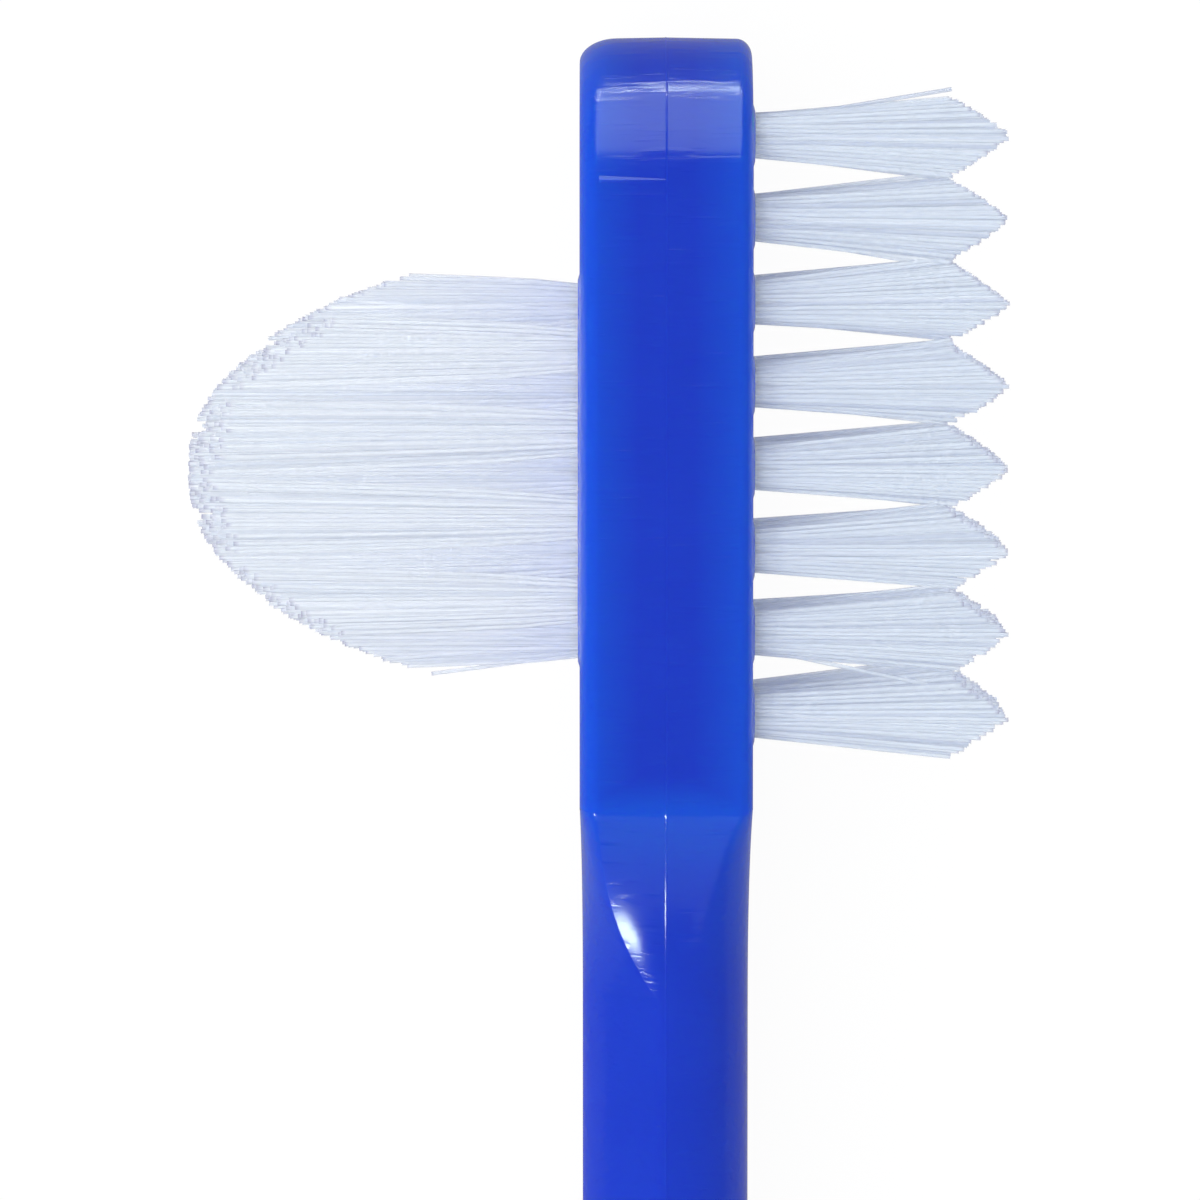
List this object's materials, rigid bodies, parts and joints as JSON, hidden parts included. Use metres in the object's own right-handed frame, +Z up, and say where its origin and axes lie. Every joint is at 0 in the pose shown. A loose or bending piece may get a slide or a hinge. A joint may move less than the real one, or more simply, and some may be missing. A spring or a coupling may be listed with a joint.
{
  "type": "denture brush",
  "caption": "Brush for cleaning dentures: a moulded handle whose head has toothed rows of short bristle tufts on one face and a domed cluster of long tufts on the other.",
  "frame": {"origin": "on the table, under the middle of the flat side of the head, which is the narrow side that the brush lies on", "axes": "+Y along the brush to the tip of the head, +X out of the face with the short rows, -X out of the face with the domed cluster, +Z up, across the width of the head"},
  "size_m": [0.0425, 0.1806, 0.0145],
  "materials": {
    "handle_plastic": "injection-moulded polypropylene, glossy, deep blue",
    "bristle_nylon": "extruded nylon filament, clear with a cool white cast, semi-gloss",
    "anchor_metal": "rolled brass strip, cut bright"
  },
  "bodies": {
    "root": {"handle": "handle_plastic", "row_tuft_1_lower": "bristle_nylon", "row_tuft_1_middle": "bristle_nylon", "row_tuft_1_upper": "bristle_nylon", "row_tuft_2_lower": "bristle_nylon", "row_tuft_2_middle": "bristle_nylon", "row_tuft_2_upper": "bristle_nylon", "row_tuft_3_lower": "bristle_nylon", "row_tuft_3_middle": "bristle_nylon", "row_tuft_3_upper": "bristle_nylon", "row_tuft_4_lower": "bristle_nylon", "row_tuft_4_middle": "bristle_nylon", "row_tuft_4_upper": "bristle_nylon", "row_tuft_5_lower": "bristle_nylon", "row_tuft_5_middle": "bristle_nylon", "row_tuft_5_upper": "bristle_nylon", "row_tuft_6_lower": "bristle_nylon", "row_tuft_6_middle": "bristle_nylon", "row_tuft_6_upper": "bristle_nylon", "row_tuft_7_lower": "bristle_nylon", "row_tuft_7_middle": "bristle_nylon", "row_tuft_7_upper": "bristle_nylon", "row_tuft_8_lower": "bristle_nylon", "row_tuft_8_middle": "bristle_nylon", "row_tuft_8_upper": "bristle_nylon", "dome_tuft_lower_1": "bristle_nylon", "dome_tuft_lower_2": "bristle_nylon", "dome_tuft_lower_3": "bristle_nylon", "dome_tuft_lower_4": "bristle_nylon", "dome_tuft_middle_1": "bristle_nylon", "dome_tuft_middle_2": "bristle_nylon", "dome_tuft_middle_3": "bristle_nylon", "dome_tuft_middle_4": "bristle_nylon", "dome_tuft_middle_5": "bristle_nylon", "dome_tuft_upper_1": "bristle_nylon", "dome_tuft_upper_2": "bristle_nylon", "dome_tuft_upper_3": "bristle_nylon", "dome_tuft_upper_4": "bristle_nylon", "dome_anchor_lower_1": "anchor_metal", "dome_anchor_lower_2": "anchor_metal", "dome_anchor_lower_3": "anchor_metal", "dome_anchor_lower_4": "anchor_metal", "dome_anchor_middle_1": "anchor_metal", "dome_anchor_middle_2": "anchor_metal", "dome_anchor_middle_3": "anchor_metal", "dome_anchor_middle_4": "anchor_metal", "dome_anchor_middle_5": "anchor_metal", "dome_anchor_upper_1": "anchor_metal", "dome_anchor_upper_2": "anchor_metal", "dome_anchor_upper_3": "anchor_metal", "dome_anchor_upper_4": "anchor_metal"}
  },
  "joints": []
}
